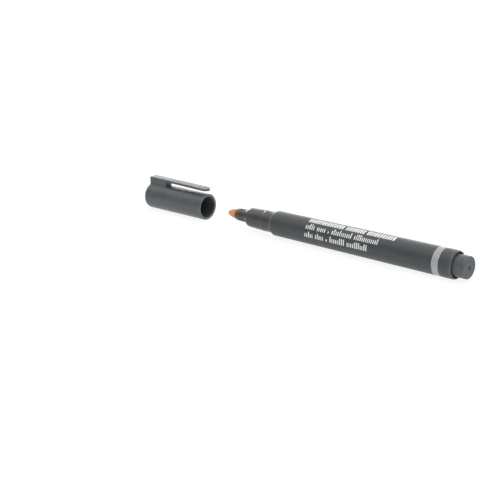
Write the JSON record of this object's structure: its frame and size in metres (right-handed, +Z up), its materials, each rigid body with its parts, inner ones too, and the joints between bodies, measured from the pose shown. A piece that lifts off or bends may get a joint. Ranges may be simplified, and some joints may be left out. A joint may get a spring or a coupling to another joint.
{
  "type": "counterfeit detector pen",
  "caption": "Felt-tipped marker for testing banknotes, with a tapered barrel, a bullet nib, an end plug and a pull-off cap with a springy clip.",
  "frame": {"origin": "on the surface that the pen lies on, under the middle of the whole length from the cap's closed end to the end plug", "axes": "+X along the pen from the nib towards the tail, +Z up from the resting surface to the clip, +Y across"},
  "size_m": [0.1784, 0.0124, 0.0157],
  "materials": {
    "body_plastic": "satin moulded polypropylene, dark cool grey, with fine moulding grain",
    "holder_plastic": "slightly glossier moulded polypropylene, dark cool grey",
    "plug_plastic": "satin moulded polypropylene, dark cool grey",
    "cap_plastic": "satin moulded polypropylene, dark cool grey, with light scuffs",
    "ring_plastic": "satin light grey",
    "liner_plastic": "soft satin polyethylene, nearly black",
    "nib_fibre": "ground bonded fibre, damp with orange-brown ink, darker at its base",
    "reservoir_fibre": "bonded polyester fibre, soaked with pale amber ink",
    "film": "thin pale polymer film",
    "print_ink": "thin white pad-print ink"
  },
  "bodies": {
    "pen": {"nib": "nib_fibre", "nib_holder": "holder_plastic", "barrel": "body_plastic", "accent_ring": "ring_plastic", "end_plug": "plug_plastic", "ink_reservoir": "reservoir_fibre", "reservoir_film": "film"},
    "cap_liner": {"inner_cap": "liner_plastic"},
    "cap": {"cap_shell": "cap_plastic"},
    "clip": {"clip_arm": "cap_plastic"}
  },
  "joints": [
    {"name": "cap_slide", "type": "slide", "parent": "pen", "child": "cap_liner", "axis": [1, 0, 0], "range_m": [0, 0.0414]},
    {"name": "cap_turn", "type": "hinge", "parent": "cap_liner", "child": "cap", "pos_m": [-0.07095, 0, 0.0062], "axis": [1, 0, 0], "continuous": true},
    {"name": "clip_flex", "type": "hinge", "parent": "cap", "child": "clip", "pos_m": [-0.07805, 0, 0.0151], "axis": [0, -1, 0], "range_deg": [0, 5], "stiffness_Nm_per_rad": 0.08}
  ]
}
